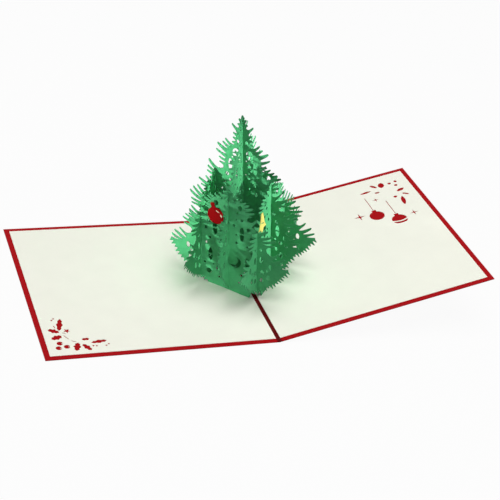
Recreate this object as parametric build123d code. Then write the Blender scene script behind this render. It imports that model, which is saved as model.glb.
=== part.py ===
from build123d import *
import math
import os

# Card: two square halves that meet at the spine fold (millimetres, degrees)
PANEL = 150.0  # side of one half
OPEN_ANGLE = 165.4  # angle between the opened halves
COVER_T = 0.35  # red cover board
LINER_T = 0.25  # ivory liner paper
BORDER = 3.5  # red rim left showing round each liner
SPINE_STRIP = 3.0  # red strip left showing between the liners
FOLD_R = 1.2  # outside radius of the spine fold

# Tree: three sheets crossing three others, all turned 45 degrees to the spine
TREE_T = 0.3  # green paper
SLOT_CLEARANCE = 0.2  # free play on each side of a sheet in its slot
PITCH = 20.5  # distance between neighbouring parallel sheets
TREE_LEAN = 1.3  # lean of the whole tree over the left half
OUTER_SLOT_Z = 36.0  # height where two outer sheets meet in their slots
CROSS_SLOT_Z = 40.0  # height where an outer sheet carries a centre sheet
CENTRE_SLOT_Z = 62.0  # height where the two centre sheets meet
FOOT_HALF = 15.0  # half length of an outer sheet's glued foot
FOOT_RISE = 6.0  # height of the plain band above the foot
CENTRE_HALF = 25.0  # half length of a centre sheet's lower edge
CENTRE_LIFT = 4.5  # height of a centre sheet's lower edge over the spine

# Needles and serrations
NEEDLE_PITCH = 6.0  # distance between needles along a branch tier
NEEDLE_L = 11.0
NEEDLE_W = 2.6  # width at the root
NEEDLE_TIP_W = 1.4  # width at the blunt tip
APEX_W = 1.6  # width of the blunt top
TRUNK_HALF = 2.4  # solid middle that no needle cuts into
STEEP = 62.0  # needle angle above level at the apex
FLAT = 24.0  # needle angle above level at the lowest branch
TOOTH_PITCH = 3.5  # serrations of the lower edge
TOOTH_L = 1.9

# Branch tiers of one side, from top to bottom: the first needle's tip and the last one's
OUTER_APEX = 81.0
OUTER_TIERS = [
    ((4.5, 77.5), (17.0, 69.0)),
    ((20.0, 64.0), (34.0, 51.5)),
    ((35.5, 42.0), (43.0, 32.5)),
]
OUTER_HIP = (33.5, 18.5)  # corner of an outer sheet's lower edge
CENTRE_APEX = 123.9
CENTRE_TIERS = [
    ((3.8, 119.0), (7.4, 114.5)),
    ((9.5, 108.0), (18.0, 99.0)),
    ((18.5, 94.0), (25.5, 83.0)),
    ((26.0, 78.0), (33.0, 67.5)),
    ((33.0, 63.0), (39.0, 54.0)),
    ((37.0, 49.0), (41.0, 37.0)),
]
BALL_TIERS = [((25.0, 77.0), (29.0, 68.5)), ((31.0, 61.5), (39.0, 54.0))]  # shorter ones, in front of the ball

# Cut-outs of one side: distance from the middle, height, half width, half height (stars: radius)
BRIDGE_W = 0.8  # paper left across a barred oval
OUTER_BARRED = [(9.6, 49.0, 1.7, 5.4), (13.6, 28.0, 1.6, 5.0)]
OUTER_OVALS = [
    (15.0, 14.0, 1.9, 1.9),
    (6.0, 39.5, 1.0, 1.0),
    (23.6, 34.0, 1.3, 2.6),
    (29.2, 27.6, 1.5, 1.9),
    (28.4, 21.4, 1.5, 2.0),
    (23.8, 18.4, 1.5, 1.7),
]
OUTER_STARS = [(24.4, 24.7, 2.2)]
CENTRE_BARRED = [(5.4, 96.5, 2.0, 2.6), (9.2, 87.0, 1.5, 4.2), (28.0, 45.0, 1.5, 4.6)]
CENTRE_OVALS = [
    (4.6, 79.5, 1.2, 1.2),
    (11.4, 78.5, 1.4, 1.0),
    (14.5, 66.0, 1.3, 2.6),
    (34.0, 37.0, 1.8, 1.6),
    (30.0, 26.5, 1.2, 2.4),
    (12.0, 30.0, 1.6, 4.4),
]
CENTRE_STARS = [(4.6, 88.0, 1.9), (25.0, 58.0, 2.2)]
MOON_AT = (4.4, 27.0)  # crescent cut in the front left sheet
MOON_R = 4.6

# Corner drawings cut in the liners
HOLLY_REACH = 38.0  # how far the sprigs run along each edge from their corner
BAUBLES_REACH = 62.0  # how far down from their corner the baubles hang

# Ornaments
ORNAMENT_T = 0.3
BACKING_T = 0.2
BACKING_INSET = 0.6  # how far the backing stays inside the ball's rim
BAUBLE_R = 5.7
BAUBLE_RISE = 1.1  # height of the ball over its width
BAUBLE_AT = (-9.0, 59.4)  # along the front left sheet and up
BAUBLE_TILT = 14.0  # the cap leans to the left
BELL_W = 10.5
BELL_H = 15.6
BELL_AT = (-13.6, 58.9)  # along the front right sheet and up

HALF_LIFT = (180.0 - OPEN_ANGLE) / 2
SLOT_W = TREE_T + 2 * SLOT_CLEARANCE
LINER_TOP = COVER_T + LINER_T


def panel_plane(side):
    """Frame of one half: x runs out from the spine, z is square to the paper. side -1 is left, 1 right."""
    lift = math.radians(HALF_LIFT)
    along = (side * math.cos(lift), 0, math.sin(lift))
    up = (-side * math.sin(lift), 0, math.cos(lift))
    return Plane(origin=(0, 0, 0), x_dir=along, z_dir=up)


def sheet_plane(family, row):
    """Frame of one tree sheet: x along it, y up. Family P runs from back left to front right, Q across it."""
    step = row * PITCH / math.sqrt(2)
    upright = Plane(origin=(step, -step, 0), x_dir=(1, 1, 0), z_dir=(1, -1, 0))
    if family == "P":
        upright = Plane(origin=(step, step, 0), x_dir=(1, -1, 0), z_dir=(-1, -1, 0))
    return Plane(Rot(0, -TREE_LEAN, 0) * upright.location)


def polygon(points):
    return make_face(Polyline(*points, close=True))


def rounded(x, y, rx, ry, corners=8):
    """Small oval hole, cut as a many-sided figure."""
    turns = [2 * math.pi * (i + 0.5) / corners for i in range(corners)]
    return polygon([(x + rx * math.cos(t), y + ry * math.sin(t)) for t in turns])


def barred(x, y, rx, ry):
    """Upright oval hole with a bridge left across its middle."""
    return rounded(x, y, rx, ry, 10) - Pos(x, y) * Rectangle(3 * rx, BRIDGE_W)


def star(x, y, radius, points=5, waist=0.42, turn=90.0):
    corners = []
    for i in range(2 * points):
        reach = radius if i % 2 == 0 else radius * waist
        angle = math.radians(turn + 180.0 * i / points)
        corners.append((x + reach * math.cos(angle), y + reach * math.sin(angle)))
    return polygon(corners)


def slit(start, end, width=0.5):
    """Narrow straight cut between two points."""
    dx, dy = end[0] - start[0], end[1] - start[1]
    middle = ((start[0] + end[0]) / 2, (start[1] + end[1]) / 2)
    return Pos(*middle) * Rot(0, 0, math.degrees(math.atan2(dy, dx))) * Rectangle(math.hypot(dx, dy), width)


def leaf(start, end, width):
    """Plain leaf between two points, bounded by two arcs."""
    (x0, y0), (x1, y1) = start, end
    length = math.hypot(x1 - x0, y1 - y0)
    side = ((y0 - y1) / length * width / 2, (x1 - x0) / length * width / 2)
    middle = ((x0 + x1) / 2, (y0 + y1) / 2)
    over = ThreePointArc(start, (middle[0] + side[0], middle[1] + side[1]), end)
    under = ThreePointArc(end, (middle[0] - side[0], middle[1] - side[1]), start)
    return make_face(over + under)


def holly(start, end, width, spines=3):
    """Holly leaf between two points: each side has a row of spines with hollows between them."""
    (x0, y0), (x1, y1) = start, end
    upper, lower = [], []
    for i in range(1, 2 * spines):
        t = i / (2 * spines)
        reach = width / 2 * math.sin(math.pi * t) ** 0.6 * (1.0 if i % 2 else 0.62)
        dx, dy = (x1 - x0), (y1 - y0)
        length = math.hypot(dx, dy)
        across = (-dy / length * reach, dx / length * reach)
        upper.append((x0 + dx * t + across[0], y0 + dy * t + across[1]))
        lower.append((x0 + dx * t - across[0], y0 + dy * t - across[1]))
    return polygon([start] + upper + [end] + lower[::-1])


def needle(tip, angle):
    """Four corners of one needle, from its upper root round the tip to its lower root."""
    dx, dy = math.cos(math.radians(angle)), math.sin(math.radians(angle))
    length = min(NEEDLE_L, (tip[0] - TRUNK_HALF) / dx)
    root = (tip[0] - length * dx, tip[1] - length * dy)
    upper, lower = [], []
    for place, width in ((root, NEEDLE_W), (tip, NEEDLE_TIP_W)):
        upper.append((place[0] - width / 2 * dy, place[1] + width / 2 * dx))
        lower.append((place[0] + width / 2 * dy, place[1] - width / 2 * dx))
    return upper + lower[::-1]


def branch_side(apex, tiers):
    """Needle edge of one side, from the apex down to the lowest branch."""
    lowest = tiers[-1][1][1]
    edge = []
    for first, last in tiers:
        dx, dy = last[0] - first[0], last[1] - first[1]
        gaps = max(1, round(math.hypot(dx, dy) / NEEDLE_PITCH))
        for i in range(gaps + 1):
            tip = (first[0] + dx * i / gaps, first[1] + dy * i / gaps)
            fall = (apex - tip[1]) / (apex - lowest)
            edge += needle(tip, STEEP + (FLAT - STEEP) * min(1.0, 2.2 * fall))
    return edge


def serrated(start, end):
    """Saw teeth along a lower edge, pointing out from the tree."""
    dx, dy = end[0] - start[0], end[1] - start[1]
    length = math.hypot(dx, dy)
    count = round(length / TOOTH_PITCH)
    out = (-dy / length * TOOTH_L, dx / length * TOOTH_L)
    points = []
    for i in range(count):
        for share, reach in ((0.0, 0.0), (0.3, 1.0)):
            t = (i + share) / count
            points.append((start[0] + dx * t + reach * out[0], start[1] + dy * t + reach * out[1]))
    return points


def mirrored(half):
    """Whole outline from the points of its right side."""
    return polygon(half + [(-x, y) for x, y in reversed(half)])


def outer_outline():
    edge = branch_side(OUTER_APEX, OUTER_TIERS)
    shoulder = (FOOT_HALF + FOOT_RISE / 4, FOOT_RISE)
    foot = [shoulder, (FOOT_HALF, FOOT_RISE / 4), (FOOT_HALF, -FOOT_RISE / 2)]
    hem = serrated(edge[-2], OUTER_HIP) + serrated(OUTER_HIP, shoulder)
    return mirrored([(APEX_W / 2, OUTER_APEX)] + edge[:-2] + hem + foot)


def centre_outline(tiers):
    edge = branch_side(CENTRE_APEX, tiers)
    heel = (CENTRE_HALF, CENTRE_LIFT)
    return mirrored([(APEX_W / 2, CENTRE_APEX)] + edge[:-2] + serrated(edge[-2], heel) + [heel])


def sheet_cuts(barred_ovals, ovals, stars):
    """Cut-outs of both sides of a sheet."""
    cuts = []
    for hand in (-1, 1):
        cuts += [barred(hand * x, *size) for x, *size in barred_ovals]
        cuts += [rounded(hand * x, *size) for x, *size in ovals]
        cuts += [star(hand * x, *size) for x, *size in stars]
    return cuts


def crescent(x, y, radius):
    """Moon between two arcs, cut as a many-sided figure."""
    bite = rounded(x - 0.41 * radius, y + 0.28 * radius, 0.93 * radius, 0.93 * radius, 20)
    return rounded(x, y, radius, radius, 20) - bite


def top_slot(s, z):
    return Pos(s, z + PANEL / 2) * Rectangle(SLOT_W, PANEL)


def bottom_slot(s, z):
    return Pos(s, z - PANEL / 2) * Rectangle(SLOT_W, PANEL)


def tree_sheet(plane, outline, cuts):
    """One cut sheet of the tree, centred on its plane. Scraps that a slot frees fall away."""
    face = outline
    for cut in cuts:
        face = face - cut
    solid = extrude(plane * face, amount=TREE_T / 2, both=True)
    return solid.solids().sort_by(SortBy.VOLUME)[-1]


def seated(sheet, side):
    """Sheet with its foot trimmed to the face of the liner that it is glued to."""
    below = Pos(PANEL / 4, 0, LINER_TOP - PANEL / 4) * Box(1.5 * PANEL, PANEL, PANEL / 2)
    trimmed = sheet - panel_plane(side) * below
    return trimmed.solids().sort_by(SortBy.VOLUME)[-1]


def make_cover():
    """One sheet, folded at the spine."""
    lift = math.radians(HALF_LIFT)
    edge = (PANEL * math.cos(lift), PANEL * math.sin(lift))
    rim = (edge[0] - COVER_T * math.sin(lift), edge[1] + COVER_T * math.cos(lift))
    inner = (0, COVER_T / math.cos(lift))
    profile = polygon([(0, 0), edge, rim, inner, (-rim[0], rim[1]), (-edge[0], edge[1])])
    sheet = extrude(Plane.XZ * profile, amount=PANEL / 2, both=True)
    crease = sheet.edges().filter_by(Axis.Y).sort_by(Axis.Z)[0]
    return fillet(crease, FOLD_R)


def make_liner(side, windows):
    """Ivory sheet on one half, with cut windows that show the cover."""
    length = PANEL - BORDER - SPINE_STRIP / 2
    width = PANEL - 2 * BORDER
    face = Pos(SPINE_STRIP / 2 + length / 2, 0) * Rectangle(length, width)
    for window in windows:
        face = face - window
    plane = panel_plane(side)
    return extrude(plane.offset(COVER_T) * face, amount=LINER_T, dir=plane.z_dir)


def berry(x, y, radius):
    """Round berry with a small shine left in it."""
    shine = Pos(x - radius, y + 0.2) * Rectangle(radius, 0.45)
    return Pos(x, y) * Circle(radius) - shine


def placed(drawing, u, v, share):
    """Corner drawing brought to its size from its own corner and set at the liner's corner (u, v)."""
    return [Pos(u, v) * (Sketch() + figure).scale(share) for figure in drawing]


def holly_corner(u, v):
    """Two holly sprigs and three berries. Each place is counted inwards and along from the corner."""

    def at(inward, along):
        return (-inward, -along)

    drawing = [
        holly(at(13.4, 37.4), at(10.4, 25.0), 4.4),
        holly(at(3.8, 27.0), at(10.2, 23.2), 4.6),
        holly(at(4.2, 16.8), at(11.0, 19.6), 5.2),
        holly(at(19.4, 11.7), at(17.0, 3.4), 5.0),
        holly(at(22.0, 9.8), at(26.2, 3.0), 4.2),
        holly(at(22.3, 14.4), at(27.2, 14.8), 3.2, 2),
        holly(at(27.4, 10.6), at(37.6, 12.0), 3.8),
        star(*at(15.2, 24.4), 2.5),
        berry(*at(8.3, 12.1), 1.9),
        berry(*at(12.0, 8.3), 1.9),
        berry(*at(6.8, 7.5), 1.9),
        slit(at(12.3, 19.8), at(14.6, 15.8)),
        slit(at(11.6, 22.9), at(14.0, 21.8)),
        slit(at(16.0, 14.0), at(18.6, 12.4)),
        slit(at(8.0, 30.6), at(8.6, 28.0)),
    ]
    for dot in ((9.4, 38.0), (8.0, 36.4), (28.2, 7.4), (30.2, 7.0), (36.2, 6.8), (38.0, 8.2)):
        drawing.append(rounded(*at(*dot), 0.7, 0.7, 6))
    return placed(drawing, u, v, HOLLY_REACH / 38.0)


def hanging_bauble(x, y, radius, string):
    """Ball with its cap, and the string that it hangs on."""
    ball = Pos(x, y) * Circle(radius)
    cap = Pos(x, y + radius + 0.7) * Rectangle(radius * 0.6, 2.4)
    return ball + cap, slit((x, y + radius + 2.4), (x, y + radius + 2.4 + string))


def bauble_corner(u, v):
    """Two hanging baubles, leaves, berries and sparkles, counted inwards and along from the corner."""

    def at(inward, along):
        return (-inward, -along)

    plain, plain_string = hanging_bauble(*at(37.5, 45.7), 5.4, 16.0)
    striped, striped_string = hanging_bauble(*at(24.8, 56.6), 5.6, 17.4)
    for along in (57.0, 60.2):
        band = ThreePointArc(at(31.4, along), at(24.8, along + 1.8), at(18.2, along))
        striped = striped - make_face(offset(band, 0.55, side=Side.BOTH))
    drawing = [
        plain,
        plain_string,
        striped,
        striped_string,
        leaf(at(38.6, 16.0), at(29.4, 15.0), 2.2),
        leaf(at(28.0, 8.0), at(24.0, 13.4), 2.4),
        leaf(at(19.2, 8.4), at(21.2, 14.6), 4.6),
        leaf(at(28.4, 19.0), at(24.2, 19.2), 1.9),
        leaf(at(12.8, 23.4), at(6.4, 21.6), 3.0),
        holly(at(10.6, 27.2), at(6.0, 30.6), 2.2, 2),
        leaf(at(12.0, 30.6), at(14.0, 41.6), 3.2),
        rounded(*at(16.4, 29.4), 1.5, 1.3),
        rounded(*at(13.8, 11.8), 1.3, 1.3),
        rounded(*at(8.8, 11.0), 1.3, 1.3),
        rounded(*at(10.2, 15.8), 1.3, 1.3),
    ]
    for inward, along, radius in ((30.9, 27.1, 2.8), (49.2, 42.2, 4.6), (12.4, 53.4, 3.6)):
        drawing.append(star(*at(inward, along), radius, 4, 0.2))
    return placed(drawing, u, v, BAUBLES_REACH / 62.0)


def make_bauble():
    """Red paper ball with its cap and two long shines cut through it, drawn at a radius of 1."""
    cap = Pos(0, BAUBLE_RISE + 0.10) * Rectangle(0.42, 0.50)
    loop = rounded(0, BAUBLE_RISE + 0.36, 0.27, 0.27, 14)
    upper = polygon([(0.18, 0.67), (0.44, 0.57), (0.60, 0.33), (0.38, 0.42)])
    lower = polygon([(0.68, 0.16), (0.77, -0.09), (0.68, -0.33), (0.60, -0.09)])
    shape = rounded(0, 0, 1, BAUBLE_RISE, 40) + cap + loop - upper - lower
    return Pos(*BAUBLE_AT) * Rot(0, 0, BAUBLE_TILT) * scale(shape, by=BAUBLE_R)


def make_bell():
    """Yellow paper bell with its clapper and one cut. Its sides swing out towards the rim."""
    half = BELL_W / 2
    skirt = 0.84 * BELL_H
    steps = 9
    side = []
    for i in range(steps + 1):
        t = i / steps
        side.append((half * (0.62 * t ** 0.45 + 0.38 * t ** 4), BELL_H / 2 - skirt * t))
    body = mirrored(side[1:])
    clapper = rounded(0, BELL_H / 2 - skirt, 0.18 * BELL_W, 0.16 * BELL_H, 14)
    cut = slit((-0.11 * BELL_W, -0.06 * BELL_H), (0.21 * BELL_W, -0.13 * BELL_H), 0.06 * BELL_H)
    return Pos(*BELL_AT) * (body + clapper - cut)


def on_sheet(plane, shape, gap, thickness):
    """Paper ornament laid on the visible face of a tree sheet, above what already lies there."""
    return extrude(plane.offset(TREE_T / 2 + gap) * shape, amount=thickness, dir=plane.z_dir)


front_left = sheet_plane("P", -1)
front_right = sheet_plane("Q", 1)
outer = outer_outline()
centre = centre_outline(CENTRE_TIERS)
centre_lower = centre_outline(CENTRE_TIERS[:3] + BALL_TIERS + CENTRE_TIERS[5:])
outer_cuts = sheet_cuts(OUTER_BARRED, OUTER_OVALS, OUTER_STARS)
centre_cuts = sheet_cuts(CENTRE_BARRED, CENTRE_OVALS, CENTRE_STARS)
moon = crescent(*MOON_AT, MOON_R)
backing = rounded(*BAUBLE_AT, BAUBLE_R - BACKING_INSET, BAUBLE_R - BACKING_INSET, 32)

p_slots = [top_slot(row * PITCH, OUTER_SLOT_Z) for row in (-1, 1)] + [top_slot(0, CROSS_SLOT_Z)]
q_slots = [bottom_slot(row * PITCH, OUTER_SLOT_Z) for row in (-1, 1)] + [top_slot(0, CROSS_SLOT_Z)]
centre_slots = [bottom_slot(row * PITCH, CROSS_SLOT_Z) for row in (-1, 1)]
p_centre_slots = centre_slots + [bottom_slot(0, CENTRE_SLOT_Z)]
q_centre_slots = centre_slots + [top_slot(0, CENTRE_SLOT_Z)]

corner = (PANEL - BORDER, PANEL / 2 - BORDER)
pieces = {
    "cover": make_cover(),
    "liner_left": make_liner(-1, holly_corner(*corner)),
    "liner_right": make_liner(1, bauble_corner(*corner)),
    "tree_front_left": seated(tree_sheet(front_left, outer, outer_cuts + p_slots + [moon]), -1),
    "tree_back_right": seated(tree_sheet(sheet_plane("P", 1), outer, outer_cuts + p_slots), 1),
    "tree_front_right": seated(tree_sheet(front_right, outer, outer_cuts + q_slots), 1),
    "tree_back_left": seated(tree_sheet(sheet_plane("Q", -1), outer, outer_cuts + q_slots), -1),
    "tree_centre_lower": tree_sheet(sheet_plane("Q", 0), centre_lower, centre_cuts + q_centre_slots),
    "tree_centre_upper": tree_sheet(sheet_plane("P", 0), centre, centre_cuts + p_centre_slots),
    "bauble_backing": on_sheet(front_left, backing, 0, BACKING_T),
    "bauble": on_sheet(front_left, make_bauble(), BACKING_T, ORNAMENT_T),
    "bell": on_sheet(front_right, make_bell(), 0, ORNAMENT_T),
}

# The opened card lies on its left half, with the origin under the middle of its footprint
footprint_middle = PANEL * (math.cos(math.radians(2 * HALF_LIFT)) - 1) / 2
rest = Pos(-footprint_middle, 0, 0) * Rot(0, -HALF_LIFT, 0)
os.makedirs("parts", exist_ok=True)
for name, piece in pieces.items():
    export_step(rest * piece, f"parts/{name}.step")
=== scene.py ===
import math

import bmesh
import bpy
from bpy.props import FloatProperty, FloatVectorProperty, PointerProperty
from mathutils import Matrix, Vector, noise


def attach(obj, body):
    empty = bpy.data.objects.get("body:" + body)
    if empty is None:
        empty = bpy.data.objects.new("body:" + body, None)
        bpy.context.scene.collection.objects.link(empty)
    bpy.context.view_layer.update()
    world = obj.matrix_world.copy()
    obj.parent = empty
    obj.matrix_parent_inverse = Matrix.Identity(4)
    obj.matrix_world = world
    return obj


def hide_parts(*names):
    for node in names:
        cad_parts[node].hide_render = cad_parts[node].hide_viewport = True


bl_info = {
    "name": "Pop Up Tree Card",
    "version": (1, 0, 0),
    "blender": (4, 5, 0),
    "location": "3D View > Sidebar > Card",
    "description": "Dresses an opened card whose cut paper tree stands over the spine",
    "category": "Object",
}

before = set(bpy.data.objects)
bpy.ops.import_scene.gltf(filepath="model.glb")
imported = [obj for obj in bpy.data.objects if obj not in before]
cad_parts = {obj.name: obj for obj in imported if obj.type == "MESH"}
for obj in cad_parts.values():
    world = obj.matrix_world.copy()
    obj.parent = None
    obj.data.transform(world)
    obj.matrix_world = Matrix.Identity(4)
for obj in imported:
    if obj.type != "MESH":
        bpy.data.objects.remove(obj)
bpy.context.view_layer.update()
MM = 0.001

# Place and sizes of the card, in millimetres: it lies on its left half, and the spine is beside the origin
HALF_LIFT = math.radians(7.3)
TREE_LEAN = math.radians(1.3)
PANEL = 150.0
SPINE_X = PANEL * (1 - math.cos(2 * HALF_LIFT)) / 2
LINER_TOP = 0.6
PITCH = 20.5

# Slots of the tree sheets: place along the sheet, height where the slot ends, 1 open at the top, -1 below
P_SLOTS = [(-PITCH, 36.0, 1), (0.0, 40.0, 1), (PITCH, 36.0, 1)]
Q_SLOTS = [(-PITCH, 36.0, -1), (0.0, 40.0, 1), (PITCH, 36.0, -1)]
P_CENTRE_SLOTS = [(-PITCH, 40.0, -1), (0.0, 62.0, -1), (PITCH, 40.0, -1)]
Q_CENTRE_SLOTS = [(-PITCH, 40.0, -1), (0.0, 62.0, 1), (PITCH, 40.0, -1)]

# Needle tips of one side, branch by branch from the top: distance from the middle, height, width
CENTRE_TOP = [
    [(2.6, 121.4, 1.6), (3.7, 117.6, 1.4)],
    [(7.4, 117.0, 1.7), (6.6, 110.8, 1.4), (6.9, 107.4, 1.4), (7.4, 104.0, 1.8)],
    [(12.2, 105.3, 1.7), (14.2, 102.6, 1.8), (18.2, 100.6, 2.5)]
    + [(19.2, 95.8, 1.8), (17.4, 90.6, 1.6), (17.0, 87.0, 1.6)],
    [(24.8, 86.8, 2.5), (25.7, 81.8, 2.0), (26.1, 78.0, 1.8), (23.4, 74.0, 1.6)],
]
CENTRE_BRANCHES = CENTRE_TOP + [
    [(27.3, 73.4, 1.7), (32.4, 70.8, 2.3), (31.2, 66.0, 1.8)],
    [(34.0, 64.4, 1.9), (37.4, 62.4, 1.9), (39.6, 59.4, 1.9), (38.2, 54.2, 1.8), (38.0, 50.8, 1.8)],
    [(38.6, 47.6, 1.9), (40.4, 44.0, 1.9), (41.2, 40.2, 1.9), (41.0, 36.4, 1.8)],
]
BALL_BRANCHES = CENTRE_TOP + [
    [(27.0, 73.0, 1.7), (29.2, 69.6, 2.0), (28.6, 65.4, 1.7)],
    [(30.4, 62.4, 1.8), (34.8, 61.4, 1.9), (36.8, 57.8, 1.9), (36.4, 53.6, 1.8), (35.6, 50.0, 1.8)],
    [(35.8, 46.6, 1.9), (36.8, 43.2, 1.9), (37.0, 39.8, 1.9), (36.2, 36.4, 1.8)],
]
CENTRE_TOP_GAPS = [(0.9, 121.6), (2.8, 115.0), (4.6, 109.0), (5.2, 101.2), (10.0, 99.4)]
CENTRE_TOP_GAPS += [(11.4, 94.0), (12.0, 87.4), (12.6, 84.0), (18.4, 76.0)]
CENTRE_GAPS = CENTRE_TOP_GAPS + [(23.0, 66.5), (29.0, 56.0), (31.0, 46.0), (34.0, 35.0)]
BALL_GAPS = CENTRE_TOP_GAPS + [(21.0, 66.5), (26.0, 56.0), (28.0, 46.0), (30.5, 35.0)]
OUTER_BRANCHES = [
    [(3.4, 79.4, 1.4), (6.6, 77.8, 1.5), (9.8, 76.0, 1.6), (12.6, 74.4, 1.6), (14.8, 73.0, 1.7)]
    + [(17.6, 71.2, 2.1), (18.4, 68.0, 1.8), (16.6, 65.0, 1.5)],
    [(21.2, 64.2, 1.8), (24.8, 61.0, 1.9), (28.6, 57.6, 2.2)]
    + [(31.8, 54.4, 1.9), (34.0, 51.4, 1.9), (33.0, 47.4, 1.7)],
    [(36.2, 42.6, 1.8), (40.4, 39.6, 2.2), (42.8, 36.0, 1.9), (43.2, 32.4, 1.8)],
]
OUTER_GAPS = [(0.9, 80.0), (4.4, 75.0), (9.8, 71.4), (12.0, 66.8), (11.8, 62.0), (16.4, 56.6), (22.4, 49.6)]
OUTER_GAPS += [(25.4, 44.0), (29.6, 37.0), (33.4, 29.6)]

# Corners of one side, from the middle and up: top, lower edge and foot
OUTER_TIP = (0.9, 81.4)
OUTER_HIP = (33.5, 18.5)
SHOULDER = (16.5, 6.0)
FOOT = [(15.0, 1.5), (15.0, -3.0)]
CENTRE_TIP = (0.8, 124.3)
HEEL = (24.5, 9.0)
HEEL_END = (21.5, 4.5)

# Needles: angles above level at the top and the foot of a branch in degrees, and limits of their length
FAN_TOP = 46.0
FAN_LOW = 13.0
NEEDLE_SHORTEST = 1.5
NEEDLE_LONGEST = 16.0
NEEDLE_STEP = 0.25

# Form of a needle: bend as a share of its length, half widths as shares of its width, points along its side
NEEDLE_BEND = 0.2
ROOT_HALF = 0.56
THINNING = 0.3
SIDE_SHARES = (0.3, 0.75, 1.0)

# Two needles part where the gap between them is this wide, or at this share of the shorter one
PARTED = 0.5
PARTING_LIMIT = 0.8
PARTING_STEP = 0.2

# Teeth of the lower edges
TEETH_PITCH = 2.8
TEETH_L = 2.3

# Cut-outs of one side: distance from the middle, height, half width and half height, or radius of a star
OUTER_BARRED = [(9.6, 49.7, 1.7, 5.7), (13.6, 28.0, 1.6, 5.0)]
OUTER_OVALS = [
    (15.0, 14.0, 1.9, 1.9),
    (9.0, 17.5, 0.9, 0.9),
    (5.8, 42.4, 0.9, 0.9),
    (23.6, 34.0, 1.2, 2.6),
    (30.4, 30.4, 1.3, 2.2),
    (28.0, 26.6, 0.9, 0.9),
    (28.6, 21.4, 1.4, 2.1),
    (23.8, 18.4, 1.5, 1.7),
    (8.4, 69.2, 1.5, 1.9),
    (4.6, 73.4, 0.7, 0.9),
    (6.6, 65.0, 0.9, 1.0),
    (6.0, 60.0, 0.7, 0.8),
    (9.6, 60.2, 0.9, 1.0),
    (4.2, 55.2, 0.9, 1.2),
    (14.1, 54.2, 1.2, 1.4),
    (13.6, 41.0, 0.8, 0.8),
    (16.6, 36.6, 0.7, 1.0),
    (5.6, 48.6, 0.6, 0.7),
    (16.6, 48.0, 1.0, 1.5),
    (23.4, 41.8, 0.8, 1.2),
    (18.0, 20.4, 0.7, 0.7),
    (7.4, 11.2, 0.7, 0.7),
    (11.6, 20.2, 0.6, 0.6),
]
OUTER_STARS = [(24.2, 24.7, 2.2)]
CENTRE_BARRED = [(4.8, 96.0, 2.5, 3.6), (8.9, 87.0, 1.45, 4.3), (25.2, 45.0, 1.5, 4.6)]
CENTRE_OVALS = [
    (2.9, 104.9, 1.1, 1.4),
    (4.6, 79.6, 1.2, 1.3),
    (11.2, 79.4, 1.3, 1.4),
    (8.6, 75.2, 1.1, 1.4),
    (14.5, 66.0, 1.3, 2.6),
    (27.4, 36.4, 1.5, 1.5),
    (28.0, 27.0, 1.2, 2.4),
    (12.0, 30.0, 1.6, 4.4),
    (9.6, 68.6, 1.2, 1.6),
    (4.6, 71.6, 0.8, 0.8),
    (19.0, 64.6, 1.1, 1.5),
    (2.6, 91.8, 0.6, 0.6),
    (7.3, 92.6, 0.6, 0.6),
    (6.0, 84.6, 0.6, 0.6),
    (4.4, 82.9, 0.6, 0.6),
    (2.3, 81.4, 0.5, 0.5),
    (24.4, 51.8, 0.9, 1.2),
    (17.4, 58.0, 0.9, 1.1),
    (13.4, 73.0, 0.8, 0.8),
]
CENTRE_STARS = [(4.5, 87.9, 2.0), (22.4, 57.4, 1.8)]
WING_OVALS = [
    (30.6, 40.8, 1.2, 1.9),
    (31.8, 35.4, 1.2, 1.7),
    (32.0, 29.4, 1.1, 1.7),
    (28.4, 20.6, 1.3, 1.9),
    (24.4, 30.8, 1.0, 1.6),
    (24.0, 22.6, 0.9, 0.9),
    (23.6, 38.4, 0.8, 1.0),
]

# Bridge of paper across a barred oval, inner corners of a star as a share of its radius
BRIDGE = 0.8
STAR_INNER = 0.45

# Crescent of the front left sheet: place and radius, turns along it in degrees, and its inner arc as shares
MOON = (4.4, 27.0, 4.6)
MOON_TURNS = range(-205, 66, 15)
MOON_SHIFT = Vector((-0.41, 0.28))
MOON_INNER = 0.90

# The ball on the front left sheet: place, radius, lean, and its two cut shines as shares of the radius
BALL_AT = Vector((-9.0, 59.4))
BALL_R = 5.7
BALL_LEAN = math.radians(14.0)
SHINES = (Vector((0.40, 0.50)), Vector((0.68, -0.09)))
SHINE_SWELL = 1.45
SHINES_WITHIN = 0.86

# Lines along and across a sheet at which its mesh is cut, so that it can bow
COLUMNS = range(-42, 43, 3)
ROWS = range(4, 124, 5)
ORNAMENT_COLUMNS = range(-20, 21, 2)
FOOT_CLEAR = 0.03

# Bow and curl: how slowly their waves run up the sheet, and where the curl begins and where it is full
BOW_WAVE = 23.0
CURL_WAVE = 9.0
WING_CURL = (PITCH + 0.8, 44.0)
TOP_CURL_UP = (84.0, 96.0)
TOP_CURL_OUT = (3.0, 20.0)

# Strip of painted shade along the spine fold, in metres from its middle: darkest inside, plain outside;
# share of dark red
FOLD_SHADE_INSIDE = 0.0008
FOLD_SHADE_OUTSIDE = 0.0022
FOLD_SHADE_SHARE = 0.95

# Studio in metres. A softbox with a grid: azimuth and height in degrees, the point it lights, width, length
TOP_AT = (0, -0.1, 1.4)
TOP_SIZE = 1.4
LEFT_BOX = (165, 7, (0, 0.002, 0.059), 0.040, 0.108)
RIGHT_BOX = (313, 16, (0, 0.003, 0.068), 0.042, 0.104)
FRONT_BOX = (268, 6, (-0.018, -0.020, 0.028), 0.020, 0.055)
BOX_REACH = 0.3
GRID_SPREAD = math.radians(8)
FLOOR_HALF = 4.0
FLOOR_DROP = 0.0002
FLOOR_WHITE = 0.95

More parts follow.
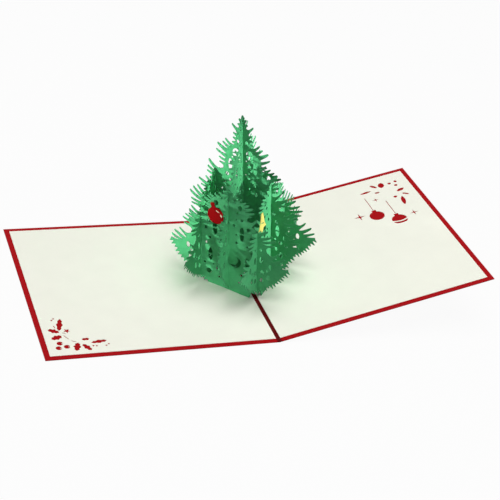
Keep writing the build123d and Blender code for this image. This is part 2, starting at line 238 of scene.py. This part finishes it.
# Camera fitted to the card's corners: place, right and up; focal length and picture in pixels, sensor in mm
CAMERA_AT = (-0.2980, -0.6979, 0.4823)
CAMERA_RIGHT = Vector((0.9391, -0.3133, 0.1410))
CAMERA_UP = Vector((0.0516, 0.5344, 0.8437))
FOCAL = 1326
PICTURE = 500
SENSOR = 36.0


class PaperSizes(bpy.types.PropertyGroup):
    """Sizes of the cut paper."""

    sheet: FloatProperty(
        name="Sheet",
        description="Thickness of the green paper, in millimetres",
        default=0.3,
        min=0.1,
        max=0.6,
    )
    clearance: FloatProperty(
        name="Slot clearance",
        description="Play on each side of a sheet in its slot, in millimetres",
        default=0.2,
        min=0.0,
    )
    curl: FloatProperty(
        name="Curl",
        description="How far the free needle tips curl out of their sheet, in millimetres",
        default=1.1,
        min=0.0,
    )
    bulge: FloatProperty(
        name="Bulge",
        description="How far a sheet bows between two slots, in millimetres",
        default=0.3,
        min=0.0,
    )


def colour_property(name, description, default):
    return FloatVectorProperty(
        name=name, description=description, subtype="COLOR", size=3, min=0.0, max=1.0, default=default
    )


def power_property(name, description, default):
    return FloatProperty(name=name, description=description, subtype="POWER", default=default, min=0.0)


class PaperColours(bpy.types.PropertyGroup):
    """Colours of the papers."""

    cover: colour_property("Cover", "Red board of the folded cover", (0.38, 0.003, 0.006))
    # Painted shade: this dark red, laid along the spine fold, stands in for the shade that lies there
    painted_fold_shade: colour_property("Crease", "Red board where the fold is shaded", (0.095, 0.002, 0.003))
    liner: colour_property("Liner", "Ivory paper glued inside the cover", (0.91, 0.915, 0.81))
    tree: colour_property("Tree", "Green paper of the tree", (0.068, 0.385, 0.155))
    scorch: colour_property("Cut edge", "Edge of the green paper, darkened by the cut", (0.03, 0.15, 0.07))
    bauble: colour_property("Bauble", "Red paper ball", (0.25, 0.001, 0.002))
    backing: colour_property("Backing", "Pale paper behind the ball's shines", (0.90, 0.86, 0.62))
    bell: colour_property("Bell", "Yellow paper bell", (0.80, 0.70, 0.17))


class StudioLight(bpy.types.PropertyGroup):
    """Light and floor of the studio."""

    top: power_property("Top softbox", "Large soft light from above", 21.4)
    left: power_property("Left softbox", "Low light on the tree from the left", 0.0305)
    right: power_property("Right softbox", "Low light on the tree from the right", 0.0195)
    front: power_property("Front softbox", "Faint light on the tree's foot", 0.0021)
    sky: FloatProperty(name="Sky", description="Even light from all round", default=0.06, min=0.0)
    floor: colour_property("Floor", "Plain pale floor", (0.6, 0.6, 0.6))


def rest_place():
    """Turn and shift from the card's own frame, upright over the spine, to the resting card."""
    return Matrix.Translation((SPINE_X, 0, 0)) @ Matrix.Rotation(-HALF_LIFT - TREE_LEAN, 4, "Y")


def sheet_place(family, row):
    """Place of one tree sheet in millimetres: local x along it, y up it, z out of its visible face."""
    step = row * PITCH / math.sqrt(2)
    origin, along, out = (step, -step, 0), Vector((1, 1, 0)), Vector((1, -1, 0))
    if family == "P":
        origin, along, out = (step, step, 0), Vector((1, -1, 0)), Vector((-1, -1, 0))
    x, z = along.normalized(), out.normalized()
    turn = Matrix((x, z.cross(x), z)).transposed().to_4x4()
    return rest_place() @ Matrix.Translation(origin) @ turn


def liner_face(side):
    """Point and normal of a liner's upper face. side -1 is the left one, which lies level."""
    lift = 2 * HALF_LIFT if side > 0 else 0.0
    normal = Vector((-math.sin(lift), 0, math.cos(lift)))
    return Vector((SPINE_X, 0, 0)) + normal * LINER_TOP, normal


def gap_at(gaps, z):
    """Half width of the sheet's body, where the gaps between needles end, at one height."""
    for (h0, z0), (h1, z1) in zip(gaps, gaps[1:]):
        if z0 >= z >= z1:
            return h0 + (h1 - h0) * (z0 - z) / (z0 - z1)
    return gaps[0][0] if z > gaps[0][1] else gaps[-1][0]


class Needle:
    """One needle: from its root on the body's edge to its tip, with a slight upward bend."""

    def __init__(self, tip, angle, width, gaps):
        self.along = Vector((math.cos(angle), math.sin(angle)))
        self.across = Vector((-self.along.y, self.along.x))
        self.width = width
        self.length = NEEDLE_SHORTEST
        tip = Vector(tip)
        while self.length < NEEDLE_LONGEST:
            self.root = tip - self.along * self.length
            if self.root.x <= gap_at(gaps, self.root.y):
                break
            self.length += NEEDLE_STEP

    def side(self, reach, hand):
        """Point of the upper (hand 1) or lower (hand -1) side at a distance from the root."""
        share = min(1.0, reach / self.length)
        bend = -NEEDLE_BEND * self.length * share * (1 - share)
        half = self.width * (ROOT_HALF - THINNING * share ** 2)
        return self.root + self.along * reach + self.across * (bend + hand * half)


def parting(above, below):
    """Distance from the roots at which two neighbouring needles part."""
    reach = 0.0
    while reach < PARTING_LIMIT * min(above.length, below.length):
        gap = above.side(reach, -1) - below.side(reach, 1)
        if gap.dot(above.across + below.across) > PARTED:
            break
        reach += PARTING_STEP
    return reach


def needle_edge(branches, gaps):
    """Needled edge of one side. In each branch the needles fan out from steep to nearly level."""
    needles = []
    for branch in branches:
        for i, (h, z, width) in enumerate(branch):
            share = i / max(1, len(branch) - 1)
            needles.append(Needle((h, z), math.radians(FAN_TOP + (FAN_LOW - FAN_TOP) * share), width, gaps))
    edge = []
    start = 0.0
    for needle, following in zip(needles, needles[1:] + [None]):
        reaches = [start + (needle.length - start) * share for share in SIDE_SHARES]
        edge += [needle.side(reach, 1) for reach in reaches]
        start = parting(needle, following) if following else 0.0
        reaches = [start + (needle.length - start) * share for share in reversed(SIDE_SHARES)]
        edge += [needle.side(reach, -1) for reach in reaches]
        if following:
            edge.append((needle.side(start, -1) + following.side(start, 1)) / 2)
    return edge


def teeth(start, end):
    """Short pointed teeth along a lower edge, each a little different."""
    run = Vector(end) - Vector(start)
    count = round(run.length / TEETH_PITCH)
    out = Vector((-run.y, run.x)).normalized()
    step = run / count
    points = []
    for i in range(count):
        foot = Vector(start) + step * i
        tip = foot + step * 0.4 + out * TEETH_L * (1 + 0.3 * math.sin(2.3 * i))
        points += [foot + step * 0.1, tip - step * 0.06, tip + step * 0.1, foot + step * 0.8]
    return points


def mirrored(half):
    """Whole outline from the points of its right side."""
    return half + [Vector((-p[0], p[1])) for p in reversed(half)]


def doubled(points):
    """Control points that keep their corners sharp."""
    return [p for p in points for _ in range(2)]


def oval(x, y, rx, ry, count=10):
    turns = [2 * math.pi * i / count for i in range(count)]
    swell = 4 / (3 + math.cos(2 * math.pi / count))
    return "NURBS", [(x + swell * rx * math.cos(t), y + swell * ry * math.sin(t)) for t in turns]


def barred_oval(x, y, rx, ry):
    """Two halves of an upright oval, with a bridge of paper between them."""
    halves = []
    for up in (1, -1):
        arc = [(rx * math.cos(t), ry * math.sin(t)) for t in (math.pi * i / 6 for i in range(1, 6))]
        low = BRIDGE / 2
        points = doubled([(rx, low)]) + [p for p in arc if p[1] > 2 * low] + doubled([(-rx, low)])
        halves.append(("NURBS", [(x + px, y + up * py) for px, py in points]))
    return halves


def five_point_star(x, y, radius):
    points = []
    for i in range(10):
        reach = radius * (1.0 if i % 2 == 0 else STAR_INNER)
        turn = math.pi * (0.5 + i / 5)
        points.append((x + reach * math.cos(turn), y + reach * math.sin(turn)))
    return "POLY", points


def crescent(x, y, radius):
    """Moon between two arcs that meet in its horns."""
    outer = [math.radians(turn) for turn in MOON_TURNS]
    points = [(x + radius * math.cos(t), y + radius * math.sin(t)) for t in outer]
    shift = MOON_SHIFT * radius
    for t in reversed(outer[1:-1]):
        reach = Vector((math.cos(t), math.sin(t))) * radius * MOON_INNER
        points.append((x + shift.x + reach.x, y + shift.y + reach.y))
    return "POLY", points


def sheet_cuts(barred, ovals, stars):
    """Cut-outs of both sides of a sheet."""
    cuts = []
    for hand in (-1, 1):
        for x, *size in barred:
            cuts += barred_oval(hand * x, *size)
        cuts += [oval(hand * x, *size) for x, *size in ovals]
        cuts += [five_point_star(hand * x, *size) for x, *size in stars]
    return cuts


def outer_outline():
    edge = needle_edge(OUTER_BRANCHES, OUTER_GAPS)
    hem = teeth(edge[-3], OUTER_HIP) + teeth(OUTER_HIP, SHOULDER)
    foot = doubled([Vector(corner) for corner in (SHOULDER, *FOOT)])
    return mirrored([Vector(OUTER_TIP)] + edge[:-2] + hem + foot)


def centre_outline(branches, gaps):
    edge = needle_edge(branches, gaps)
    heel = doubled([Vector(HEEL), Vector(HEEL_END)])
    return mirrored([Vector(CENTRE_TIP)] + edge[:-2] + teeth(edge[-3], HEEL) + heel)


def flat_sheet(name, outline, cuts):
    """Flat mesh of one cut sheet, in millimetres: a filled flat curve."""
    curve = bpy.data.curves.new(name, "CURVE")
    curve.dimensions = "2D"
    curve.fill_mode = "FRONT"
    curve.resolution_u = 3
    for kind, points in [("NURBS", outline)] + cuts:
        spline = curve.splines.new(kind)
        spline.points.add(len(points) - 1)
        for point, place in zip(spline.points, points):
            point.co = (place[0], place[1], 0, 1)
        spline.use_cyclic_u = True
        if kind == "NURBS":
            spline.order_u = 3
    carrier = bpy.data.objects.new(name, curve)
    mesh = bpy.data.meshes.new_from_object(carrier)
    bpy.data.objects.remove(carrier)
    bpy.data.curves.remove(curve)
    return mesh


def all_of(bm):
    return bm.verts[:] + bm.edges[:] + bm.faces[:]


def cut_line(bm, place, normal, **clear):
    bmesh.ops.bisect_plane(bm, geom=all_of(bm), dist=1e-5, plane_co=place, plane_no=normal, **clear)


def cut_slot(bm, place, stop, opening, width):
    """Straight slot from the sheet's edge to the height where it stops."""
    for side in (-1, 1):
        cut_line(bm, (place + side * width / 2, 0, 0), (1, 0, 0))
    cut_line(bm, (0, stop, 0), (0, 1, 0))
    gone = []
    for face in bm.faces:
        middle = face.calc_center_median()
        if abs(middle.x - place) < width / 2 and (middle.y - stop) * opening > 0:
            gone.append(face)
    bmesh.ops.delete(bm, geom=gone, context="FACES")


def keep_largest(bm):
    """Drops the scraps that a slot cuts free."""
    left = set(bm.faces)
    islands = []
    while left:
        front = [left.pop()]
        island = []
        while front:
            face = front.pop()
            island.append(face)
            near = {other for edge in face.edges for other in edge.link_faces} & left
            left -= near
            front += near
        islands.append(island)
    islands.sort(key=lambda island: sum(face.calc_area() for face in island))
    for island in islands[:-1]:
        bmesh.ops.delete(bm, geom=island, context="FACES")


def ease(low, high, value):
    t = min(1.0, max(0.0, (value - low) / (high - low)))
    return t * t * (3 - 2 * t)


def bow(s, z, seed, sizes):
    """How far the paper stands out of its plane: bowed between slots, curled at the free needle tips."""
    side = 1.0 if s > 0 else -1.0
    reach = abs(s)
    hold = math.sin(math.pi * min(reach, PITCH) / PITCH) ** 2
    out = sizes.bulge * hold * math.sin(z / BOW_WAVE + seed + side)
    wave = noise.noise(Vector((side * 3.1 + seed * 7.3, z / CURL_WAVE, 0.5)))
    out += sizes.curl * ease(*WING_CURL, reach) * (0.55 + 1.6 * wave)
    out += 0.7 * sizes.curl * ease(*TOP_CURL_UP, z) * ease(*TOP_CURL_OUT, reach) * (0.3 + 1.8 * wave)
    return out


def thickened(bm, thickness):
    """Gives a flat sheet its thickness, half on each side."""
    new = bmesh.ops.extrude_face_region(bm, geom=bm.faces[:], use_keep_orig=True)
    lifted = [item for item in new["geom"] if isinstance(item, bmesh.types.BMVert)]
    bmesh.ops.translate(bm, verts=bm.verts[:], vec=(0, 0, -thickness / 2))
    bmesh.ops.translate(bm, verts=lifted, vec=(0, 0, thickness))
    bmesh.ops.recalc_face_normals(bm, faces=bm.faces[:])


def finished(bm, name, place, materials, node):
    """Object of one piece, set in the card's frame and standing for its solid."""
    bmesh.ops.transform(bm, matrix=Matrix.Scale(MM, 4) @ place, verts=bm.verts[:])
    mesh = bpy.data.meshes.new(name)
    bm.to_mesh(mesh)
    bm.free()
    for material in materials:
        mesh.materials.append(material)
    piece = bpy.data.objects.new(name, mesh)
    bpy.context.scene.collection.objects.link(piece)
    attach(piece, "root")
    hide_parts(node)
    return piece


def make_tree_sheet(node, family, row, outline, cuts, slots, foot_side, seed, materials, sizes):
    """One sheet of the tree: cut flat, slotted, trimmed to the liner under it, and bowed a little."""
    flat = flat_sheet(node, outline, cuts)
    bm = bmesh.new()
    bm.from_mesh(flat)
    bpy.data.meshes.remove(flat)
    bmesh.ops.remove_doubles(bm, verts=bm.verts[:], dist=1e-3)
    for place, stop, opening in slots:
        cut_slot(bm, place, stop, opening, sizes.sheet + 2 * sizes.clearance)
    place = sheet_place(family, row)
    if foot_side:
        point, normal = liner_face(foot_side)
        back = place.inverted()
        cut_line(bm, back @ (point + normal * FOOT_CLEAR), back.to_3x3() @ normal, clear_inner=True)
    keep_largest(bm)
    for s in COLUMNS:
        cut_line(bm, (s, 0, 0), (1, 0, 0))
    for z in ROWS:
        cut_line(bm, (0, z, 0), (0, 1, 0))
    thickened(bm, sizes.sheet)
    for face in bm.faces:
        face.material_index = 0 if abs(face.normal.z) > 0.5 else 1
    for vert in bm.verts:
        vert.co.z += bow(vert.co.x, vert.co.y, seed, sizes)
    return finished(bm, node + "_paper", place, materials, node)


def open_shines(bm):
    """Opens the ball's two cut shines a little wider than its solid has them."""
    lean = Matrix.Rotation(BALL_LEAN, 2)
    for vert in bm.verts:
        share = lean.inverted() @ (vert.co.xy - BALL_AT) / BALL_R
        if share.length < SHINES_WITHIN:
            middle = min(SHINES, key=lambda shine: (share - shine).length)
            vert.co.xy = BALL_AT + lean @ (middle + (share - middle) * SHINE_SWELL) * BALL_R


def make_ornament(node, family, row, seed, material, sizes):
    """Flat paper ornament: its solid's own shape, following the bow of the sheet that carries it."""
    bm = bmesh.new()
    bm.from_mesh(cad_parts[node].data)
    bmesh.ops.remove_doubles(bm, verts=bm.verts[:], dist=2e-6)
    place = sheet_place(family, row)
    bmesh.ops.transform(bm, matrix=place.inverted() @ Matrix.Scale(1 / MM, 4), verts=bm.verts[:])
    bmesh.ops.dissolve_limit(bm, angle_limit=0.01, verts=bm.verts[:], edges=bm.edges[:])
    if node == "bauble":
        open_shines(bm)
    for s in ORNAMENT_COLUMNS:
        cut_line(bm, (s, 0, 0), (1, 0, 0))
    for vert in bm.verts:
        vert.co.z += bow(vert.co.x, vert.co.y, seed, sizes)
    return finished(bm, node + "_paper", place, [material], node)


def new_node(tree, kind, place, **inputs):
    node = tree.nodes.new(kind)
    node.location = place
    for name, value in inputs.items():
        node.inputs[name.replace("_", " ")].default_value = value
    return node


def paper(name, colour, roughness, fibre=1800.0, mottle=140.0, spread=0.10, bump=0.25, shine=0.4):
    """Uncoated paper: fine fibres in colour, gloss and relief, and a broad faint mottling."""
    material = bpy.data.materials.new(name)
    material.use_nodes = True
    tree = material.node_tree
    shader = tree.nodes["Principled BSDF"]
    shader.inputs["Specular IOR Level"].default_value = shine
    where = new_node(tree, "ShaderNodeTexCoord", (-1100, 0))
    stretch = new_node(tree, "ShaderNodeMapping", (-900, 200), Scale=(1.0, 1.0, 0.35))
    fibres = new_node(tree, "ShaderNodeTexNoise", (-700, 200), Scale=fibre, Detail=5.0, Roughness=0.65)
    clouds = new_node(tree, "ShaderNodeTexNoise", (-700, -100), Scale=mottle, Detail=3.0)
    both = new_node(tree, "ShaderNodeMath", (-500, 100))
    both.operation = "ADD"
    tint = new_node(tree, "ShaderNodeMapRange", (-330, 100))
    tint.inputs["From Min"].default_value = 0.6
    tint.inputs["From Max"].default_value = 1.4
    tint.inputs["To Min"].default_value = 1.0 - spread
    tint.inputs["To Max"].default_value = 1.0 + spread
    dye = new_node(tree, "ShaderNodeVectorMath", (-150, 100))
    dye.operation = "SCALE"
    dye.inputs[0].default_value = colour
    gloss = new_node(tree, "ShaderNodeMapRange", (-330, -150))
    gloss.inputs["To Min"].default_value = roughness - 0.08
    gloss.inputs["To Max"].default_value = roughness + 0.08
    relief = new_node(tree, "ShaderNodeBump", (-330, -400), Strength=bump, Distance=0.00006)
    links = tree.links
    links.new(where.outputs["Object"], stretch.inputs["Vector"])
    links.new(stretch.outputs["Vector"], fibres.inputs["Vector"])
    links.new(where.outputs["Object"], clouds.inputs["Vector"])
    links.new(fibres.outputs["Fac"], both.inputs[0])
    links.new(clouds.outputs["Fac"], both.inputs[1])
    links.new(both.outputs["Value"], tint.inputs["Value"])
    links.new(tint.outputs["Result"], dye.inputs["Scale"])
    links.new(dye.outputs["Vector"], shader.inputs["Base Color"])
    links.new(fibres.outputs["Fac"], gloss.inputs["Value"])
    links.new(gloss.outputs["Result"], shader.inputs["Roughness"])
    links.new(fibres.outputs["Fac"], relief.inputs["Height"])
    links.new(relief.outputs["Normal"], shader.inputs["Normal"])
    return material


def board(name, colour, painted_fold_shade):
    """Red cover board, with shade painted in dark red along the spine fold."""
    material = paper(name, colour, 0.55, spread=0.07, shine=0.06)
    tree = material.node_tree
    shader = tree.nodes["Principled BSDF"]
    dyed = shader.inputs["Base Color"].links[0].from_socket
    # Painted shade: near the spine fold the red is mixed towards the dark red, as the shade lying in the
    # fold
    where = new_node(tree, "ShaderNodeTexCoord", (-1100, 600))
    split = new_node(tree, "ShaderNodeSeparateXYZ", (-900, 600))
    away = new_node(tree, "ShaderNodeMath", (-700, 600))
    away.operation = "SUBTRACT"
    away.inputs[1].default_value = SPINE_X * MM
    size = new_node(tree, "ShaderNodeMath", (-550, 600))
    size.operation = "ABSOLUTE"
    near = new_node(tree, "ShaderNodeMapRange", (-400, 600))
    near.interpolation_type = "SMOOTHSTEP"
    near.inputs["From Min"].default_value = FOLD_SHADE_OUTSIDE
    near.inputs["From Max"].default_value = FOLD_SHADE_INSIDE
    near.inputs["To Max"].default_value = FOLD_SHADE_SHARE
    # Inputs 6 and 7 of a colour mix are its two colours, and output 2 is its result
    mix = new_node(tree, "ShaderNodeMix", (-150, 400))
    mix.data_type = "RGBA"
    mix.inputs[7].default_value = (*painted_fold_shade, 1.0)
    links = tree.links
    links.new(where.outputs["Object"], split.inputs["Vector"])
    links.new(split.outputs["X"], away.inputs[0])
    links.new(away.outputs["Value"], size.inputs[0])
    links.new(size.outputs["Value"], near.inputs["Value"])
    links.new(near.outputs["Result"], mix.inputs["Factor"])
    links.new(dyed, mix.inputs[6])
    links.new(mix.outputs[2], shader.inputs["Base Color"])
    return material


def dress(node, material):
    """Gives a solid that keeps its own shape its finish."""
    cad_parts[node].material_slots[0].material = material


class CARD_OT_fold_cover(bpy.types.Operator):
    """Dress the folded cover and the two liners"""

    bl_idname = "card.fold_cover"
    bl_label = "Cover and Liners"

    def execute(self, context):
        colours = context.scene.card_colours
        dress("cover", board("cover_board", colours.cover, colours.painted_fold_shade))
        ivory = paper("liner_paper", colours.liner, 0.62, fibre=1500.0, mottle=60.0, spread=0.025, bump=0.2)
        dress("liner_left", ivory)
        dress("liner_right", ivory)
        return {"FINISHED"}


class CARD_OT_cut_tree(bpy.types.Operator):
    """Cut the six sheets of the tree and slot them together"""

    bl_idname = "card.cut_tree"
    bl_label = "Tree"

    def execute(self, context):
        sizes = context.scene.card_sizes
        colours = context.scene.card_colours
        green = paper(
            "tree_paper", colours.tree, 0.58, fibre=2200.0, mottle=220.0, spread=0.13, bump=0.3, shine=0.08
        )
        edge = paper("tree_cut_edge", colours.scorch, 0.7, fibre=4000.0, mottle=500.0, spread=0.3)
        outer = outer_outline()
        lower = centre_outline(BALL_BRANCHES, BALL_GAPS)
        upper = centre_outline(CENTRE_BRANCHES, CENTRE_GAPS)
        outer_cuts = sheet_cuts(OUTER_BARRED, OUTER_OVALS, OUTER_STARS)
        lower_cuts = sheet_cuts(CENTRE_BARRED, CENTRE_OVALS, CENTRE_STARS)
        upper_cuts = sheet_cuts(CENTRE_BARRED, CENTRE_OVALS + WING_OVALS, CENTRE_STARS)
        moon = [crescent(*MOON)]
        sheets = [
            ("tree_front_left", "P", -1, outer, outer_cuts + moon, P_SLOTS, -1),
            ("tree_back_right", "P", 1, outer, outer_cuts, P_SLOTS, 1),
            ("tree_front_right", "Q", 1, outer, outer_cuts, Q_SLOTS, 1),
            ("tree_back_left", "Q", -1, outer, outer_cuts, Q_SLOTS, -1),
            ("tree_centre_lower", "Q", 0, lower, lower_cuts, Q_CENTRE_SLOTS, 0),
            ("tree_centre_upper", "P", 0, upper, upper_cuts, P_CENTRE_SLOTS, 0),
        ]
        for seed, sheet in enumerate(sheets):
            make_tree_sheet(*sheet, seed, [green, edge], sizes)
        return {"FINISHED"}


class CARD_OT_hang_ornaments(bpy.types.Operator):
    """Lay the ball with its backing and the bell on their sheets"""

    bl_idname = "card.hang_ornaments"
    bl_label = "Ornaments"

    def execute(self, context):
        sizes = context.scene.card_sizes
        colours = context.scene.card_colours
        red = paper("bauble_paper", colours.bauble, 0.6, spread=0.1, shine=0.05)
        pale = paper("backing_paper", colours.backing, 0.6, spread=0.05)
        yellow = paper("bell_paper", colours.bell, 0.5, spread=0.08)
        make_ornament("bauble", "P", -1, 0, red, sizes)
        make_ornament("bauble_backing", "P", -1, 0, pale, sizes)
        make_ornament("bell", "Q", 1, 2, yellow, sizes)
        return {"FINISHED"}


def place_lamp(data, place, aim):
    lamp = bpy.data.objects.new(data.name, data)
    lamp.location = place
    lamp.rotation_euler = (Vector(aim) - Vector(place)).to_track_quat("-Z", "Y").to_euler()
    bpy.context.scene.collection.objects.link(lamp)


def soft_box(name, place, aim, size, power):
    """Large round softbox."""
    data = bpy.data.lights.new(name, "AREA")
    data.shape = "DISK"
    data.size = size
    data.energy = power
    place_lamp(data, place, aim)


def grid_box(name, azimuth, height, aim, wide, tall, power):
    """Upright softbox with a grid, which keeps its light on the tree and off the liners."""
    data = bpy.data.lights.new(name, "AREA")
    data.shape = "RECTANGLE"
    data.size = wide
    data.size_y = tall
    data.spread = GRID_SPREAD
    data.energy = power
    turn, rise = math.radians(azimuth), math.radians(height)
    away = Vector((math.cos(turn) * math.cos(rise), math.sin(turn) * math.cos(rise), math.sin(rise)))
    place_lamp(data, Vector(aim) + BOX_REACH * away, aim)


def seen_directly(tree):
    """Socket that is 1 where the camera, a mirror or glass shows the surface, and 0 for its light."""
    path = new_node(tree, "ShaderNodeLightPath", (-1100, 200))
    mirrored_too = new_node(tree, "ShaderNodeMath", (-900, 200))
    mirrored_too.operation = "MAXIMUM"
    through_too = new_node(tree, "ShaderNodeMath", (-700, 200))
    through_too.operation = "MAXIMUM"
    tree.links.new(path.outputs["Is Camera Ray"], mirrored_too.inputs[0])
    tree.links.new(path.outputs["Is Glossy Ray"], mirrored_too.inputs[1])
    tree.links.new(mirrored_too.outputs["Value"], through_too.inputs[0])
    tree.links.new(path.outputs["Is Transmission Ray"], through_too.inputs[1])
    return through_too.outputs["Value"]


def floor_material(colour):
    """Pale floor that shows white to the camera and still takes the card's shadow."""
    material = bpy.data.materials.new("studio_floor")
    material.use_nodes = True
    tree = material.node_tree
    tree.nodes.remove(tree.nodes["Principled BSDF"])
    end = tree.nodes["Material Output"]
    matte = new_node(tree, "ShaderNodeBsdfDiffuse", (-400, 0), Color=(*colour, 1.0))
    white = new_node(tree, "ShaderNodeEmission", (-400, -200))
    share = new_node(tree, "ShaderNodeMath", (-550, 200))
    share.operation = "MULTIPLY"
    share.inputs[1].default_value = FLOOR_WHITE
    mix = new_node(tree, "ShaderNodeMixShader", (-200, 0))
    links = tree.links
    links.new(seen_directly(tree), share.inputs[0])
    links.new(share.outputs["Value"], mix.inputs["Fac"])
    links.new(matte.outputs["BSDF"], mix.inputs[1])
    links.new(white.outputs["Emission"], mix.inputs[2])
    links.new(mix.outputs["Shader"], end.inputs["Surface"])
    return material


def white_world(sky):
    """Even white light, seen as white by the camera."""
    world = bpy.data.worlds.new("studio")
    world.use_nodes = True
    tree = world.node_tree
    back = tree.nodes["Background"]
    strength = new_node(tree, "ShaderNodeMapRange", (-300, 200))
    strength.inputs["To Min"].default_value = sky
    strength.inputs["To Max"].default_value = 1.0
    back.inputs["Color"].default_value = (1.0, 1.0, 1.0, 1.0)
    tree.links.new(seen_directly(tree), strength.inputs["Value"])
    tree.links.new(strength.outputs["Result"], back.inputs["Strength"])
    return world


class CARD_OT_set_stage(bpy.types.Operator):
    """Set the floor, the soft light and the camera"""

    bl_idname = "card.set_stage"
    bl_label = "Stage"

    def execute(self, context):
        scene = context.scene
        light = scene.card_light
        bm = bmesh.new()
        bmesh.ops.create_grid(bm, x_segments=1, y_segments=1, size=FLOOR_HALF)
        bmesh.ops.translate(bm, verts=bm.verts[:], vec=(0, 0, -FLOOR_DROP))
        mesh = bpy.data.meshes.new("floor")
        bm.to_mesh(mesh)
        bm.free()
        mesh.materials.append(floor_material(light.floor))
        floor = bpy.data.objects.new("floor", mesh)
        scene.collection.objects.link(floor)
        soft_box("top_softbox", TOP_AT, (0, 0, 0), TOP_SIZE, light.top)
        grid_box("left_softbox", *LEFT_BOX, light.left)
        grid_box("right_softbox", *RIGHT_BOX, light.right)
        grid_box("front_softbox", *FRONT_BOX, light.front)
        scene.world = white_world(light.sky)
        camera = bpy.data.cameras.new("camera")
        camera.sensor_width = SENSOR
        camera.lens = SENSOR * FOCAL / PICTURE
        view = bpy.data.objects.new("camera", camera)
        back = CAMERA_RIGHT.cross(CAMERA_UP).normalized()
        right = CAMERA_UP.cross(back).normalized()
        turn = Matrix((right, back.cross(right), back)).transposed().to_4x4()
        view.matrix_world = Matrix.Translation(CAMERA_AT) @ turn
        scene.collection.objects.link(view)
        scene.camera = view
        scene.view_settings.view_transform = "Standard"
        return {"FINISHED"}


class CARD_PT_sidebar(bpy.types.Panel):
    """Lists the card's pieces and values"""

    bl_label = "Pop Up Card"
    bl_idname = "CARD_PT_sidebar"
    bl_space_type = "VIEW_3D"
    bl_region_type = "UI"
    bl_category = "Card"

    def draw(self, context):
        column = self.layout.column()
        for operator in OPERATORS:
            column.operator(operator.bl_idname)
        for name in ("card_sizes", "card_colours", "card_light"):
            group = getattr(context.scene, name)
            for key in group.__annotations__:
                column.prop(group, key)


GROUPS = {"card_sizes": PaperSizes, "card_colours": PaperColours, "card_light": StudioLight}
OPERATORS = (CARD_OT_fold_cover, CARD_OT_cut_tree, CARD_OT_hang_ornaments, CARD_OT_set_stage)


def register():
    for name, group in GROUPS.items():
        bpy.utils.register_class(group)
        setattr(bpy.types.Scene, name, PointerProperty(type=group))
    for item in (*OPERATORS, CARD_PT_sidebar):
        bpy.utils.register_class(item)


def unregister():
    for item in (CARD_PT_sidebar, *reversed(OPERATORS)):
        bpy.utils.unregister_class(item)
    for name, group in GROUPS.items():
        delattr(bpy.types.Scene, name)
        bpy.utils.unregister_class(group)


def main():
    register()
    bpy.ops.card.fold_cover()
    bpy.ops.card.cut_tree()
    bpy.ops.card.hang_ornaments()
    bpy.ops.card.set_stage()


if __name__ == "__main__":
    main()
